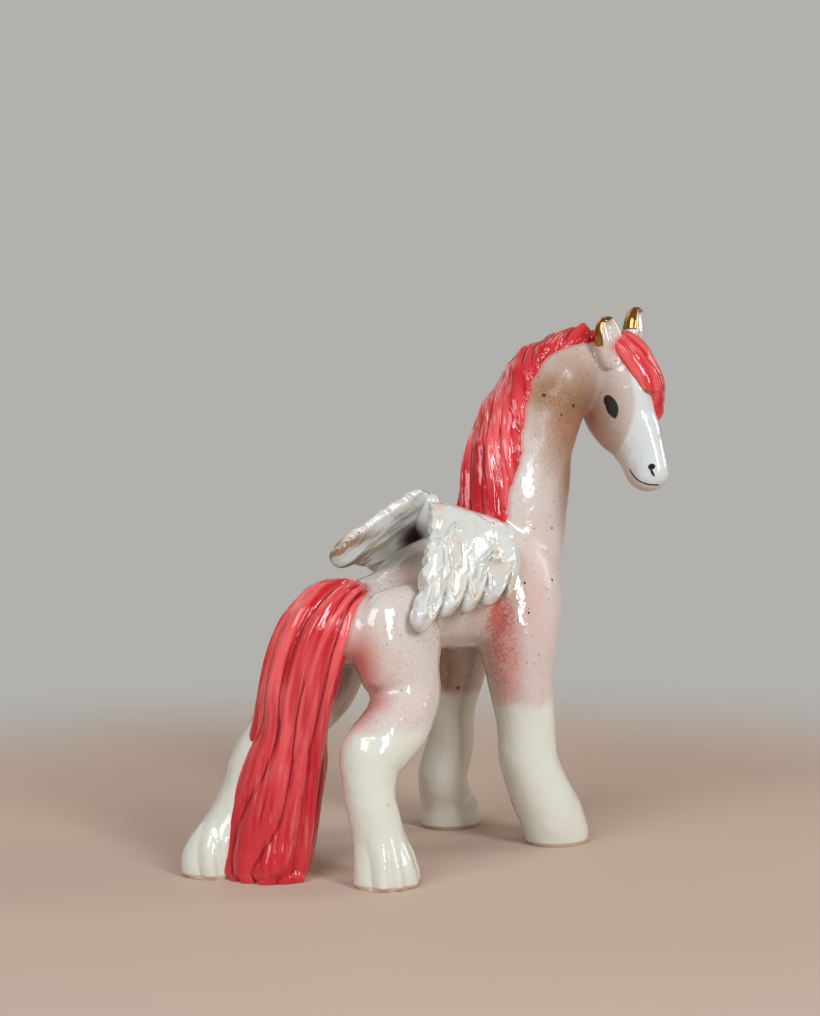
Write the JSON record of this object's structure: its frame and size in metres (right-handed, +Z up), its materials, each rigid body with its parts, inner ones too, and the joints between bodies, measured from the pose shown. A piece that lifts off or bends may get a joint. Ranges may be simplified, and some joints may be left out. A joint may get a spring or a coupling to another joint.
{
  "type": "ceramic winged horse figurine",
  "caption": "Glazed ceramic winged horse that stands with its head turned over its right shoulder, with a modelled mane, tail and draped feather wings.",
  "frame": {"origin": "on the table, under the middle of the figure's box", "axes": "+X towards the chest, along the body; +Y to the horse's left; +Z up. The head looks back over the right shoulder, towards -Y"},
  "size_m": [0.1482, 0.0596, 0.151],
  "materials": {
    "glazed_ceramic": "clear gloss glaze over pink speckled clay, with coral hair, pearl wings, cream legs and gold ear tips"
  },
  "bodies": {
    "root": {"winged_pony": "glazed_ceramic"}
  },
  "joints": []
}
